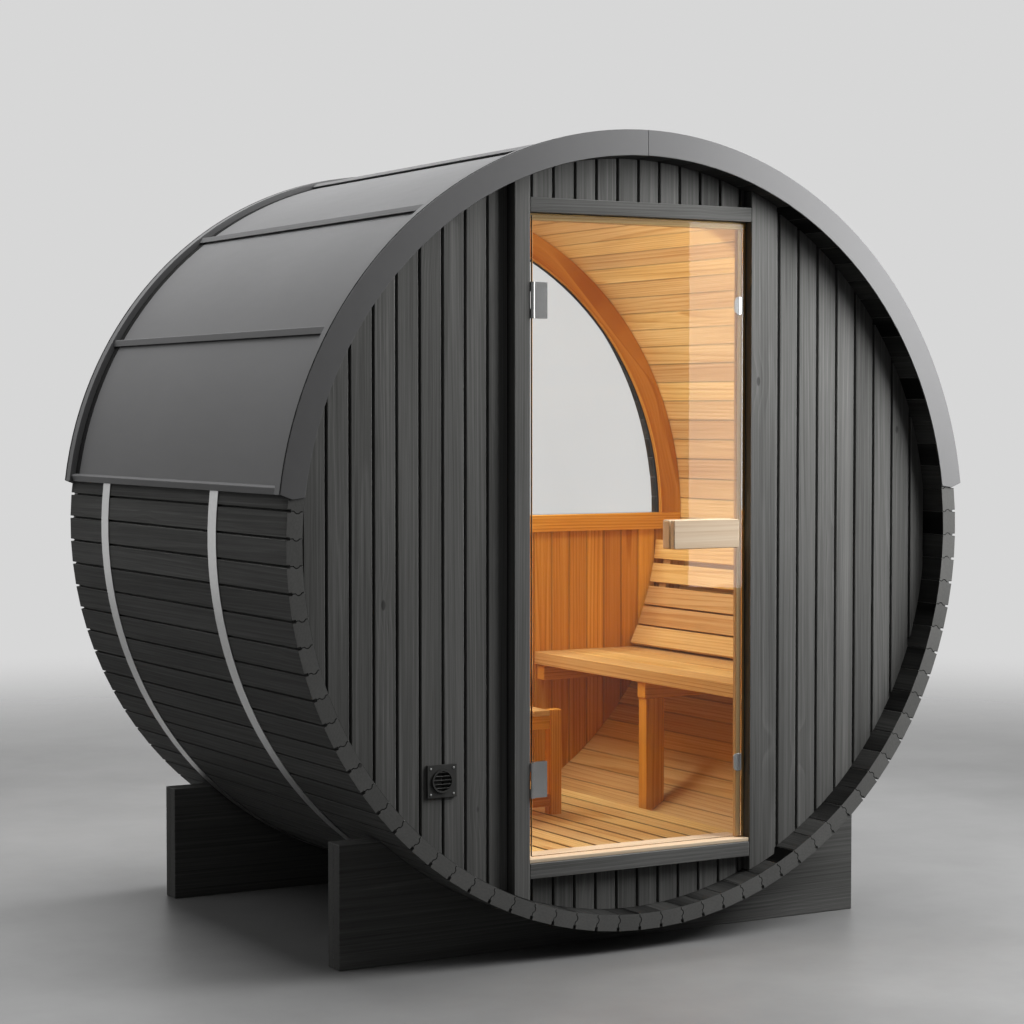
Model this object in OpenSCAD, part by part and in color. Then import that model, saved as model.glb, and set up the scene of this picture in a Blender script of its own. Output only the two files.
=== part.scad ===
// Outdoor barrel sauna: a round barrel of staves on two cradles, with a lapped metal
// roof over its upper half, a recessed front wall with a hinged glass door, and a
// half-moon window in the rear wall. The barrel's axis runs along Y, the front faces
// -Y, and the origin is on the ground below the middle of the barrel.

/* [Barrel] */
// Length of the staves
barrel_l = 1420; // [1300:5:2400]
// Radius inside the staves
inner_r = 933; // [915:1:1000]
// Thickness of a stave
stave_t = 42; // [30:1:55]
// Staves round the barrel, a multiple of four
stave_n = 96; // [80:4:112]
// Angle of the staves' turn from a joint at the very top
stave_turn = 1.1; // [0:0.05:2]
// Width of the groove between the outsides of two staves
groove_w = 6; // [3:0.5:8]
// Depth of the groove
groove_d = 9; // [4:0.5:12]
// Chamfer along the inner edges of a stave
stave_arris = 1.5; // [0.5:0.5:3]
// Width of the bead along a stave's edge, and of the cove that takes it
bead_w = 16; // [8:1:18]
// Depth of the bead
bead_d = 5; // [2:0.5:6]
// Height of the barrel's underside above the ground
ground_gap = 52; // [30:1:90]

/* [Cradles] */
// Length of a cradle across the barrel
cradle_w = 1528; // [1300:2:1640]
// Height of a cradle at its ends
cradle_h = 303; // [240:1:340]
// Thickness of each of a cradle's two planks
cradle_plank_t = 30; // [20:1:40]
// Distance of a cradle from the barrel's end
cradle_setback = 165; // [150:5:190]

/* [Walls] */
// Thickness of the end walls
wall_t = 42; // [30:1:60]
// Depth of the walls' outer faces behind the stave ends
wall_recess = 75; // [60:1:95]
// How far the rear wall is set back from the barrel's rear end
rear_recess = 93; // [60:1:110]
// How far the door posts stand out from the boards
post_proud = 28; // [10:1:40]
// Width of the post on the hinge side
left_post_w = 44; // [30:1:80]
// Width of the post on the catch side
right_post_w = 79; // [30:1:110]

/* [Doorway] */
// Left side of the doorway, from the middle
door_l = 305; // [280:1:360]
// Right side of the doorway, from the middle
door_r = 345; // [290:1:360]
// Underside of the header, below the top of the barrel's inside
head_drop = 144; // [135:1:190]
// Height of the header
header_h = 36; // [25:1:60]
// Top of the sill, above the bottom of the barrel's inside
sill_rise = 141; // [140:1:190]
// Height of the sill
sill_h = 38; // [25:1:60]
// Thickness of the threshold strip on the sill
threshold_t = 10; // [8:1:20]
// Depth of the threshold strip
threshold_d = 100; // [60:1:120]
// Width of the stop that the door closes towards
stop_w = 28; // [20:1:30]
// Width of the stop on the hinge side
hinge_stop_w = 14; // [8:1:18]
// Depth of the stops on the posts
stop_d = 14; // [10:1:40]
// Height of the stop under the header
top_stop_h = 18; // [10:1:30]
// Depth of the stop under the header
top_stop_d = 22; // [12:1:40]

/* [Door] */
// Thickness of the glass
glass_t = 8; // [6:1:10]
// Gap between the glass and the doorway
door_gap = 6; // [5:0.5:10]
// Gap between the glass and the doorway on the catch side
latch_gap = 21; // [5:1:24]
// Setting of the glass behind the front of the posts
glass_set = 7; // [6:0.5:9]
// Middle of the upper hinge, below the top of the glass
hinge_top = 206; // [80:1:300]
// Middle of the lower hinge, above the bottom of the glass
hinge_low = 188; // [80:1:300]
// Width of a hinge's plate on the glass
hinge_w = 37; // [30:1:60]
// Height of a hinge
hinge_h = 88; // [70:1:120]
// Thickness of a hinge's plate
hinge_plate_t = 3; // [2:0.5:3]
// Radius of a hinge's knuckles
knuckle_r = 5; // [4.5:0.5:5.5]
// Radius of a hinge's pin
pin_r = 3; // [2:0.5:3.5]
// Length of the handle's blocks
handle_l = 197; // [120:1:260]
// Height of the handle's blocks
handle_h = 73; // [40:1:90]
// Thickness of the outer block
handle_outer_t = 18; // [12:1:30]
// Thickness of the inner block
handle_inner_t = 30; // [12:1:40]
// Chamfer round the faces of the handle's blocks
handle_chamfer = 3; // [1:0.5:5]
// Distance of the handle from the door's free edge
handle_edge = 22; // [20:1:80]
// Width of a door catch
catch_w = 26; // [12:1:28]
// Height of a door catch
catch_h = 46; // [30:1:60]

/* [Vent] */
// Width and height of the vent's plate
vent_w = 79; // [65:1:100]
// Thickness of the vent's plate
vent_t = 6; // [3:0.5:10]
// Outer radius of the vent's round grille
vent_r = 28; // [20:1:30]
// Distance of the vent's middle from the staves
vent_inset = 147; // [100:1:200]
// Angle of the vent's middle below the axis, on the left
vent_a = 47; // [35:1:50]
// Louvres in the grille
louvre_n = 5; // [3:1:7]

/* [Rear window] */
// Height of the rail under the window
rail_h = 50; // [30:1:80]
// How far the pane stands into the room from the wall
window_set = 13; // [9:1:25]
// Radial width of the arch that holds the glass inside
arch_t = 70; // [18:1:90]
// Depth of the inner arch
arch_inner_d = 20; // [14:1:60]
// Radial thickness of the bead that holds the glass outside
arch_outer_t = 14; // [10:1:28]
// Depth of the outer bead
arch_outer_d = 31; // [8:1:45]
// Radial width of the glazing gasket
gasket_w = 5; // [3:0.5:18]

/* [Floor and bench] */
// Top of the floor, above the bottom of the barrel's inside
floor_rise = 133; // [100:1:140]
// Width of a floor slat
floor_slat_w = 62; // [45:1:90]
// Gap between floor slats
floor_slat_gap = 10; // [5:1:15]
// Thickness of a floor slat
floor_slat_t = 20; // [15:1:28]
// Thickness of a floor joist
joist_t = 40; // [25:1:50]
// Joists under the floor
joist_n = 4; // [2:2:6]
// Top of the bench, above the floor
seat_h = 390; // [370:5:420]
// Depth of the bench
seat_d = 373; // [330:1:400]
// Thickness of the bench's boards
seat_t = 38; // [25:1:45]
// Boards across the bench
seat_n = 4; // [3:1:6]
// Gap between the bench's boards
seat_gap = 6; // [3:1:12]
// Width of a bearer under the bench
bearer_w = 40; // [30:1:60]
// Height of a bearer under the bench
bearer_h = 45; // [35:1:60]
// Width of the bench's leg
leg_w = 60; // [40:1:80]
// Thickness of the bench's leg
leg_t = 40; // [30:1:50]
// Distance of the backrest's face from the staves
back_stand = 73; // [60:1:90]
// Width of a backrest slat
back_slat_w = 58; // [45:1:60]
// Thickness of a backrest slat
back_slat_t = 20; // [15:1:28]

/* [Stool] */
// Width of the stool
stool_w = 350; // [280:5:400]
// Depth of the stool
stool_d = 300; // [220:5:360]
// Height of the stool
stool_h = 289; // [220:1:340]
// Right side of the stool, right of the middle
stool_x = 180; // [100:5:220]
// Front of the stool, behind the barrel's front
stool_y = 710; // [500:5:760]
// Side of a stool leg
stool_leg = 33; // [25:1:45]
// Slats on the stool
stool_slat_n = 5; // [3:1:6]

/* [Roof] */
// Angle of the eaves above the barrel's axis
eave_a = 7.2; // [2:0.1:15]
// Sheets on each side of the crown sheet
side_sheet_n = 3; // [2:1:4]
// Angle that a side sheet covers
sheet_a = 22.8; // [15:0.1:24]
// Thickness of a roof sheet
sheet_t = 2; // [1:0.5:3]
// Height of the crease of the folded hem along a sheet's lower edge
hem_h = 13; // [6:0.5:15]
// Width of the hem's sloping face
hem_w = 16; // [10:1:25]
// Overhang of a hem past the sheet below it
lap = 6; // [2:0.5:8]
// Height of the gap under the overhang
lap_gap = 6; // [2:0.5:8]
// Radial height of the trim's face
trim_face = 62; // [40:1:62]
// How far the trim stands above the sheets
trim_rise = 16; // [8:0.5:20]
// Depth of the trim on the roof
trim_leg = 34; // [20:1:60]
// How far the points of the trim's ends stand below their corners
trim_tip = 8; // [0:0.5:12]
// Thickness of the trim
trim_t = 3; // [1.5:0.5:4]

/* [Bands] */
// Width of a steel band
band_w = 50; // [20:1:50]
// Thickness of a steel band
band_t = 2; // [1:0.5:3]
// Distance of the front band from the front
band_front = 398; // [260:1:500]
// Distance of the rear band from the rear
band_rear = 248; // [245:1:400]

/* [Hidden] */
$fn = 180;

charcoal = [0.24, 0.24, 0.23];
cedar = [0.78, 0.50, 0.24];
pale_wood = [0.83, 0.72, 0.56];
roof_grey = [0.36, 0.36, 0.37];
steel = [0.68, 0.68, 0.67];
clear = [0.80, 0.86, 0.86, 0.35];

// Clearance between pieces that are fitted together
fit_gap = 0.4;
stave_or = inner_r + stave_t;
axis_h = stave_or + ground_gap;
// Half the angle of a stave, and half the flat of its outside
stave_a = 180 / stave_n;
stave_top_x = stave_or * tan(stave_a) - groove_w / 2 / cos(stave_a);
bead_r = (bead_w * bead_w / 4 + bead_d * bead_d) / (2 * bead_d);
// Radius that clears the corners of the staves' outsides
seat_r = norm([stave_top_x, stave_or]) + fit_gap;
wall_r = inner_r - fit_gap;
// The rooms' inner faces, measured from the front
front_in = wall_recess + wall_t;
rear_in = barrel_l - rear_recess - wall_t;
post_front = wall_recess - post_proud;
// Heights above the barrel's axis
head_z = inner_r - head_drop;
sill_z = sill_rise - inner_r;
floor_z = floor_rise - inner_r;
seat_z = floor_z + seat_h;
glass_y = post_front + glass_set;
glass_back = glass_y + glass_t;
stop_y = glass_back + 10;
threshold_z = sill_z + threshold_t;
glass_z0 = threshold_z + door_gap;
glass_z1 = head_z - door_gap;
hinge_zs = [glass_z0 + hinge_low, glass_z1 - hinge_top];
hinge_x = -door_l + door_gap;
hinge_y = post_front - 1;
// Gap between the hinge's axis and the plate beside the fixed knuckles
knuckle_gap = 2;
plate_x = hinge_x + knuckle_r + knuckle_gap;
glass_x0 = hinge_x + 3;
glass_x1 = door_r - latch_gap;
leaf_t = 2.5;
// The middle knuckle moves with the door, and the outer two are fixed
moving_knuckle_h = 40;
pin_clear = 0.3;
handle_x1 = glass_x1 - handle_edge;
window_y = rear_in - window_set;
rail_y = window_y - arch_inner_d;
band_r = seat_r;
sheet_r = band_r + band_t + fit_gap;
roof_r = sheet_r + sheet_t;
trim_r = roof_r + fit_gap + trim_rise;
// Lower edges of the side sheets and the crown sheet
sheet_edges = [for (i = [0:side_sheet_n]) eave_a + i * sheet_a];
floor_half_w = half_chord(wall_r, floor_z - floor_slat_t);
// The bench ends a little way before the staves
seat_back_gap = 15;
seat_x = half_chord(wall_r, seat_z - seat_t) - seat_back_gap - seat_d;
bearer_z = seat_z - seat_t - fit_gap;
bearer_inset = 10;
back_r = inner_r - back_stand;
back_corner = [back_r + back_slat_t, back_slat_w / 2];
back_seat_gap = 5;
batten_r = norm(back_corner) + 0.1;
// Angles of the backrest slats below the axis: three close ones and two spaced ones
back_close_a = (back_slat_w + 5) / back_r * 180 / PI;
back_wide_a = (back_slat_w + 14) / back_r * 180 / PI;
back_low_a = asin((seat_z + back_seat_gap) / norm(back_corner)) + atan2(back_corner[1], back_corner[0]);
back_angles = [for (i = [0:4]) back_low_a + min(i, 2) * back_close_a + max(i - 2, 0) * back_wide_a];

function half_chord(r, z) = sqrt(r * r - z * z);

// Places what is drawn from the middle of the barrel's front end, on its axis
module from_front() {
    translate([0, -barrel_l / 2, axis_h]) children();
}

// Runs a profile drawn in X and Z along +Y
module along_y(length, start = 0) {
    translate([0, start + length, 0])
        rotate([90, 0, 0])
            linear_extrude(length) children();
}

// Sweeps a profile of radius and depth about the barrel's axis between two angles
module arc_of(from, to) {
    rotate([-90, 0, 0])
        rotate([0, 0, -to])
            rotate_extrude(angle = to - from) children();
}

module arc_bar(r0, r1, y0, y1, from, to) {
    arc_of(from, to)
        translate([r0, y0]) square([r1 - r0, y1 - y0]);
}

// Keeps the part of a profile that lies inside the barrel
module in_barrel() {
    intersection() {
        children();
        circle(r = wall_r);
    }
}

module rect_from_to(x0, z0, x1, z1) {
    translate([x0, z0]) square([x1 - x0, z1 - z0]);
}

module box_from_to(a, b) {
    translate(a) cube(b - a);
}

// A point at a radius on the joint at a stave's left (-1) or right (1) side, moved out
// from the joint's middle
function joint_point(side, r, out) =
    [side * (r * sin(stave_a) + out * cos(stave_a)), r * cos(stave_a) - out * sin(stave_a)];

// Height of the round bead at a distance from its middle
function bead(t) = sqrt(bead_r * bead_r - t * t) - bead_r + bead_d;

// A stave's side from the inside out to the groove's floor, with a bead (bulge 1) or a cove
// (bulge -1)
function stave_side(side, bulge) =
    let (groove_r = stave_or - groove_d, middle = (inner_r + groove_r) / 2, half_gap = fit_gap / 2, steps = 4)
    concat(
        [joint_point(side, (inner_r + stave_arris) / cos(stave_a), -half_gap)],
        [for (i = [-steps:steps])
            let (t = i / steps * bead_w / 2)
            joint_point(side, middle + t, bulge * bead(t) - half_gap)],
        [for (out = [half_gap, groove_w / 2]) joint_point(side, groove_r / cos(stave_a), -out)]);

function reversed(list) = [for (i = [len(list) - 1:-1:0]) list[i]];

// A stave's cross-section, with its outside upwards: a cove on its right side takes the
// bead on the left side of the next stave
module stave_profile() {
    low_x = inner_r * tan(stave_a) - fit_gap / 2 - stave_arris;
    polygon(concat(
        [[low_x, inner_r]], stave_side(1, -1), [[stave_top_x, stave_or], [-stave_top_x, stave_or]],
        reversed(stave_side(-1, 1)), [[-low_x, inner_r]]));
}

// A quarter of the barrel, centred on an angle
module staves(middle) {
    step = 360 / stave_n;
    color(charcoal)
        from_front()
            along_y(barrel_l)
                for (i = [0:stave_n / 4 - 1])
                    rotate(middle - 45 + (i + 0.5) * step - 90 - stave_turn) stave_profile();
}

module staves_top() { staves(90); }
module staves_left() { staves(180); }
module staves_bottom() { staves(270); }
module staves_right() { staves(0); }

// Two planks side by side, cut to the barrel's curve
module cradle(start) {
    color(charcoal)
        from_front()
            for (i = [0:1])
                along_y(cradle_plank_t, start + i * (cradle_plank_t + fit_gap))
                    difference() {
                        rect_from_to(-cradle_w / 2, -axis_h, cradle_w / 2, cradle_h - axis_h);
                        circle(r = seat_r);
                    }
}

cradle_t = 2 * cradle_plank_t + fit_gap;

module front_cradle() { cradle(cradle_setback); }
module rear_cradle() { cradle(barrel_l - cradle_setback - cradle_t); }

module steel_bands() {
    color(steel)
        from_front()
            for (y = [band_front, barrel_l - band_rear - band_w])
                arc_bar(band_r, band_r + band_t, y, y + band_w, 0, 360);
}

module front_wall_part(x0, z0, x1, z1) {
    color(charcoal)
        from_front()
            along_y(wall_t, wall_recess)
                in_barrel() rect_from_to(x0, z0, x1, z1);
}

module front_wall_left() {
    front_wall_part(-inner_r, -inner_r, -door_l - left_post_w - fit_gap, inner_r);
}

module front_wall_right() {
    front_wall_part(door_r + right_post_w + fit_gap, -inner_r, inner_r, inner_r);
}

module front_wall_over_door() {
    front_wall_part(-door_l + fit_gap, head_z + header_h + fit_gap, door_r - fit_gap, inner_r);
}

module front_wall_under_door() {
    front_wall_part(-door_l + fit_gap, -inner_r, door_r - fit_gap, sill_z - sill_h - fit_gap);
}

// A post or rail of the door's frame, as deep as the wall and standing out from it
module frame_part(x0, z0, x1, z1) {
    color(charcoal)
        from_front()
            along_y(wall_t + post_proud, post_front)
                in_barrel() rect_from_to(x0, z0, x1, z1);
}

module door_post_left() { frame_part(-door_l - left_post_w, -inner_r, -door_l, inner_r); }
module door_post_right() { frame_part(door_r, -inner_r, door_r + right_post_w, inner_r); }
module door_header() {
    frame_part(-door_l + fit_gap, head_z, door_r - fit_gap, head_z + header_h);
}
module door_sill() {
    frame_part(-door_l + fit_gap, sill_z - sill_h, door_r - fit_gap, sill_z);
}

module door_threshold() {
    color(pale_wood)
        from_front()
            along_y(threshold_d, post_front + 3)
                rect_from_to(-door_l + fit_gap, sill_z + fit_gap, door_r - fit_gap, threshold_z);
}

// A stop on each post, and one under the header that rests on them
module door_stops() {
    side_top = head_z - top_stop_h - fit_gap;
    color(cedar)
        from_front() {
            along_y(stop_d, stop_y) {
                rect_from_to(-door_l + fit_gap, threshold_z + fit_gap,
                    -door_l + fit_gap + hinge_stop_w, side_top - fit_gap);
                rect_from_to(door_r - stop_w - fit_gap, threshold_z + fit_gap,
                    door_r - fit_gap, side_top - fit_gap);
            }
            along_y(top_stop_d, stop_y)
                rect_from_to(-door_l + fit_gap, side_top, door_r - fit_gap, head_z - fit_gap);
        }
}

// Two upright catches with round ends, which stand past the inner edge of the right-hand stop
module door_catches() {
    catch_t = stop_y - glass_back - 5 - fit_gap;
    straight = catch_h - catch_w;
    catch_over = 10;
    color(steel)
        from_front()
            along_y(catch_t, stop_y - fit_gap - catch_t)
                for (z = hinge_zs)
                    translate([door_r - stop_w - fit_gap + catch_w / 2 - catch_over, z]) {
                        square([catch_w, straight], center = true);
                        for (end = [-1, 1])
                            translate([0, end * straight / 2]) circle(d = catch_w);
                    }
}

// A vertical cylinder on the door's hinge axis
module on_hinge_axis(r, z0, z1) {
    translate([hinge_x, hinge_y, z0]) cylinder(r = r, h = z1 - z0);
}

// Leaves on the post, each with two knuckles on ears and the pin between them
module hinge_leaves() {
    leaf_x = -door_l + fit_gap;
    plate_y = hinge_y + knuckle_r + knuckle_gap;
    ear_z = moving_knuckle_h / 2 + 0.5;
    color(steel)
        from_front()
            for (z = hinge_zs)
                translate([0, 0, z]) {
                    box_from_to([leaf_x, plate_y, -hinge_h / 2],
                        [leaf_x + leaf_t, stop_y - fit_gap, hinge_h / 2]);
                    for (end = [0, 1])
                        mirror([0, 0, end]) {
                            box_from_to([leaf_x, hinge_y, ear_z],
                                [leaf_x + leaf_t, plate_y + 1, hinge_h / 2]);
                            on_hinge_axis(knuckle_r, ear_z, hinge_h / 2);
                        }
                    on_hinge_axis(pin_r, -hinge_h / 2, hinge_h / 2);
                }
}

module door_glass() {
    color(clear)
        from_front()
            along_y(glass_t, glass_y)
                rect_from_to(glass_x0, glass_z0, glass_x1, glass_z1);
}

// Clamp plates on both faces of the glass, the front ones with the middle knuckle
module door_hinges() {
    color(steel)
        from_front()
            for (z = hinge_zs)
                translate([0, 0, z]) {
                    difference() {
                        union() {
                            box_from_to([plate_x, glass_y - hinge_plate_t, -hinge_h / 2],
                                [plate_x + hinge_w, glass_y, hinge_h / 2]);
                            box_from_to([hinge_x, glass_y - hinge_plate_t, -moving_knuckle_h / 2],
                                [plate_x + 1, glass_y, moving_knuckle_h / 2]);
                            on_hinge_axis(knuckle_r, -moving_knuckle_h / 2, moving_knuckle_h / 2);
                        }
                        on_hinge_axis(pin_r + pin_clear, -hinge_h, hinge_h);
                    }
                    box_from_to([plate_x, glass_back, -hinge_h / 2],
                        [plate_x + hinge_w, glass_back + hinge_plate_t, hinge_h / 2]);
                }
}

// A handle block with a chamfered outline
module handle_block(start, depth) {
    color(pale_wood)
        from_front()
            along_y(depth, start)
                difference() {
                    rect_from_to(handle_x1 - handle_l, -handle_h / 2, handle_x1, handle_h / 2);
                    for (x = [handle_x1 - handle_l, handle_x1], z = [-handle_h / 2, handle_h / 2])
                        translate([x, z]) circle(r = handle_chamfer, $fn = 4);
                }
}

module handle_outer() { handle_block(glass_y - handle_outer_t, handle_outer_t); }
module handle_inner() { handle_block(glass_back, handle_inner_t); }

module at_vent() {
    reach = inner_r - vent_inset;
    from_front()
        translate([-reach * cos(vent_a), 0, -reach * sin(vent_a)]) children();
}

module vent_plate() {
    color(charcoal)
        at_vent()
            along_y(vent_t, wall_recess - fit_gap - vent_t)
                difference() {
                    square(vent_w, center = true);
                    circle(r = vent_r + fit_gap);
                }
}

// A ring with sloping louvres across it
module vent_grille() {
    ring_w = 4;
    pitch = 2 * (vent_r - ring_w) / louvre_n;
    ring_back = wall_recess - fit_gap;
    ring_d = vent_t + 4;
    color(charcoal)
        at_vent() {
            along_y(ring_d, ring_back - ring_d)
                difference() {
                    circle(r = vent_r);
                    circle(r = vent_r - ring_w);
                }
            intersection() {
                along_y(ring_d, ring_back - ring_d) circle(r = vent_r - ring_w / 2);
                for (i = [0:louvre_n - 1])
                    translate([0, ring_back - ring_d / 2, (i - (louvre_n - 1) / 2) * pitch])
                        rotate([-35, 0, 0])
                            cube([2 * vent_r, pitch, 1.5], center = true);
            }
        }
}

module rear_wall() {
    color(charcoal)
        from_front()
            along_y(wall_t, rear_in)
                in_barrel() rect_from_to(-inner_r, -inner_r, inner_r, -rail_h - 2 * fit_gap);
}

module rear_rail() {
    color(cedar)
        from_front()
            along_y(rear_in + wall_t - rail_y, rail_y)
                in_barrel() rect_from_to(-inner_r, -rail_h - fit_gap, inner_r, -fit_gap);
}

// Half-moon pane that stands on the rail between the two arches
module window_glass() {
    pane_edge = 8;
    color(clear)
        from_front()
            along_y(glass_t, window_y)
                intersection() {
                    circle(r = wall_r - pane_edge);
                    rect_from_to(-inner_r, 0, inner_r, inner_r);
                }
}

module window_arch_inner() {
    color(cedar)
        from_front()
            arc_bar(wall_r - arch_t, wall_r, rail_y, window_y - fit_gap, 0, 180);
}

module window_arch_outer() {
    start = window_y + glass_t + fit_gap;
    color(charcoal)
        from_front()
            arc_bar(wall_r - arch_outer_t, wall_r, start, start + arch_outer_d, 0, 180);
}

module window_gasket() {
    gasket_r = wall_r - arch_t - fit_gap;
    gasket_d = 6;
    color([0.1, 0.1, 0.1])
        from_front()
            arc_bar(gasket_r - gasket_w, gasket_r, window_y - gasket_d, window_y - fit_gap, 0, 180);
}

// Cross boards cut to the barrel's curve
module floor_joists() {
    inset = 40;
    pitch = (rear_in - front_in - 2 * inset - joist_t) / (joist_n - 1);
    color(cedar)
        from_front()
            for (i = [0:joist_n - 1])
                along_y(joist_t, front_in + inset + i * pitch)
                    in_barrel()
                        rect_from_to(-inner_r, -inner_r, inner_r, floor_z - floor_slat_t - fit_gap);
}

// As many slats as fit across the barrel at the floor's underside
module floor_slats() {
    pitch = floor_slat_w + floor_slat_gap;
    count = floor((2 * floor_half_w + floor_slat_gap) / pitch);
    left = -(count * pitch - floor_slat_gap) / 2;
    color(cedar)
        from_front()
            along_y(rear_in - front_in - 16, front_in + 8)
                for (i = [0:count - 1])
                    translate([left + i * pitch, floor_z - floor_slat_t])
                        square([floor_slat_w, floor_slat_t]);
}

module bench_seat() {
    board_w = (seat_d - (seat_n - 1) * seat_gap) / seat_n;
    color(cedar)
        from_front()
            along_y(rear_in - front_in - 2, front_in + 1)
                for (i = [0:seat_n - 1])
                    translate([seat_x + i * (board_w + seat_gap), seat_z - seat_t])
                        square([board_w, seat_t]);
}

module bench_bearers() {
    back_x = half_chord(wall_r, bearer_z - bearer_h);
    color(cedar)
        from_front()
            for (y = [front_in + fit_gap, (barrel_l - bearer_w) / 2, rear_in - fit_gap - bearer_w])
                along_y(bearer_w, y)
                    rect_from_to(seat_x + bearer_inset, bearer_z - bearer_h, back_x, bearer_z);
}

// A plank under the middle bearer with its foot cut to the barrel's curve
module bench_leg() {
    left = max(seat_x + bearer_inset, floor_half_w + fit_gap);
    color(cedar)
        from_front()
            along_y(leg_t, (barrel_l - leg_t) / 2)
                in_barrel()
                    rect_from_to(left, -inner_r, left + leg_w, bearer_z - bearer_h - fit_gap);
}

module backrest_slats() {
    color(cedar)
        from_front()
            along_y(rear_in - front_in - 20, front_in + 10)
                for (a = back_angles)
                    rotate(a)
                        translate([back_r, -back_slat_w / 2]) square([back_slat_t, back_slat_w]);
}

module backrest_battens() {
    batten_w = 40;
    inset = 60;
    margin_a = 1;
    // The last batten ends before the window's arch
    last_y = rail_y - fit_gap - batten_w;
    color(cedar)
        from_front()
            for (y = [front_in + inset, (front_in + inset + last_y) / 2, last_y])
                arc_bar(batten_r, wall_r, y, y + batten_w,
                    back_angles[0] - margin_a, back_angles[4] + margin_a);
}

stool_slat_t = 16;
stool_rail_h = 36;

module at_stool() {
    from_front() translate([stool_x - stool_w, stool_y, floor_z + fit_gap]) children();
}

// Four legs joined by rails at the top and near the floor
module stool_frame() {
    rail_t = 20;
    inset = (stool_leg - rail_t) / 2;
    rail_top = stool_h - fit_gap - stool_slat_t;
    low_z = 22;
    color(cedar)
        at_stool() {
            for (x = [0, stool_w - stool_leg], y = [0, stool_d - stool_leg])
                translate([x, y, 0]) cube([stool_leg, stool_leg, stool_h]);
            for (y = [inset, stool_d - inset - rail_t], z = [low_z, rail_top - stool_rail_h])
                translate([inset, y, z]) cube([stool_w - 2 * inset, rail_t, stool_rail_h]);
            for (x = [inset, stool_w - inset - rail_t])
                translate([x, inset, rail_top - stool_rail_h])
                    cube([rail_t, stool_d - 2 * inset, stool_rail_h]);
        }
}

module stool_slats() {
    side = stool_leg + 4;
    slat_gap = 6;
    slat_w = (stool_w - 2 * side - (stool_slat_n - 1) * slat_gap) / stool_slat_n;
    color(cedar)
        at_stool()
            for (i = [0:stool_slat_n - 1])
                translate([side + i * (slat_w + slat_gap), 0, stool_h - stool_slat_t])
                    cube([slat_w, stool_d, stool_slat_t]);
}

// The folded hem along a sheet's lower edge, between the trims: it overhangs the sheet below,
// slopes out to a crease and falls back into its own sheet
module roof_hem(edge) {
    fold_w = 6;
    root_r = roof_r - sheet_t / 2;
    root_t = 1.5;
    crease_t = hem_w - lap;
    hem_y = trim_leg + fit_gap;
    along_y(barrel_l - 2 * hem_y, hem_y)
        rotate(edge)
            polygon([
                [roof_r + lap_gap, -lap], [roof_r + hem_h, crease_t], [root_r, crease_t + fold_w],
                [root_r, root_t], [roof_r + fit_gap, root_t]]);
}

module roof_sheet(low, high) {
    split_a = fit_gap / sheet_r * 180 / PI;
    arc_bar(sheet_r, roof_r, trim_t, barrel_l - trim_t, low, high - split_a);
    roof_hem(low);
}

// The sheets of one side, from the eave up to the crown sheet
module roof_side() {
    color(roof_grey)
        from_front()
            for (i = [0:side_sheet_n - 1])
                roof_sheet(sheet_edges[i], sheet_edges[i + 1]);
}

module roof_right() { roof_side(); }
module roof_left() { mirror([1, 0, 0]) roof_side(); }
// The crown sheet laps over both sides
module roof_crown() {
    edge = sheet_edges[side_sheet_n];
    color(roof_grey)
        from_front() {
            roof_sheet(edge, 180 - edge);
            mirror([1, 0, 0]) roof_hem(edge);
        }
}

// A channel that caps the roof's edge: a face on the stave ends, a leg over the roof
// and a lip down to the sheets
module trim_profile() {
    back = -fit_gap;
    face_r = trim_r - trim_face;
    lip_r = trim_r - trim_rise;
    polygon([
        [face_r, back - trim_t], [trim_r, back - trim_t],
        [trim_r, trim_leg], [lip_r, trim_leg], [lip_r, trim_leg - trim_t],
        [trim_r - trim_t, trim_leg - trim_t], [trim_r - trim_t, back], [face_r, back]]);
}

// What is cut off below a trim's end, so that the end comes to a blunt point
module trim_end_cut(end_a) {
    mid_r = trim_r - trim_face / 2;
    along_y(trim_leg + 3 * trim_t, -2 * trim_t)
        rotate(end_a)
            polygon([
                [mid_r - trim_face, 2 * trim_tip], [mid_r, 0], [mid_r + trim_face, 2 * trim_tip],
                [mid_r + trim_face, -trim_face], [mid_r - trim_face, -trim_face]]);
}

// Two halves that meet at the crown
module trim() {
    joint_a = fit_gap / trim_r * 180 / PI;
    end_a = eave_a - (lap + trim_tip) / trim_r * 180 / PI;
    spare_a = 1;
    color(roof_grey)
        for (side = [0, 1])
            mirror([side, 0, 0])
                difference() {
                    arc_of(end_a - spare_a, 90 - joint_a) trim_profile();
                    trim_end_cut(end_a);
                }
}

module front_trim() { from_front() trim(); }
module rear_trim() { from_front() translate([0, barrel_l, 0]) mirror([0, 1, 0]) trim(); }

staves_top();
staves_left();
staves_bottom();
staves_right();
front_cradle();
rear_cradle();
steel_bands();
front_wall_left();
front_wall_right();
front_wall_over_door();
front_wall_under_door();
door_post_left();
door_post_right();
door_header();
door_sill();
door_threshold();
door_stops();
door_catches();
hinge_leaves();
door_glass();
door_hinges();
handle_outer();
handle_inner();
vent_plate();
vent_grille();
rear_wall();
rear_rail();
window_glass();
window_arch_inner();
window_arch_outer();
window_gasket();
floor_joists();
floor_slats();
bench_seat();
bench_bearers();
bench_leg();
backrest_slats();
backrest_battens();
stool_frame();
stool_slats();
roof_left();
roof_crown();
roof_right();
front_trim();
rear_trim();
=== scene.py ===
"""Looks of an outdoor barrel sauna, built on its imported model. Metres, front towards -Y."""

import math
import random

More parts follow.
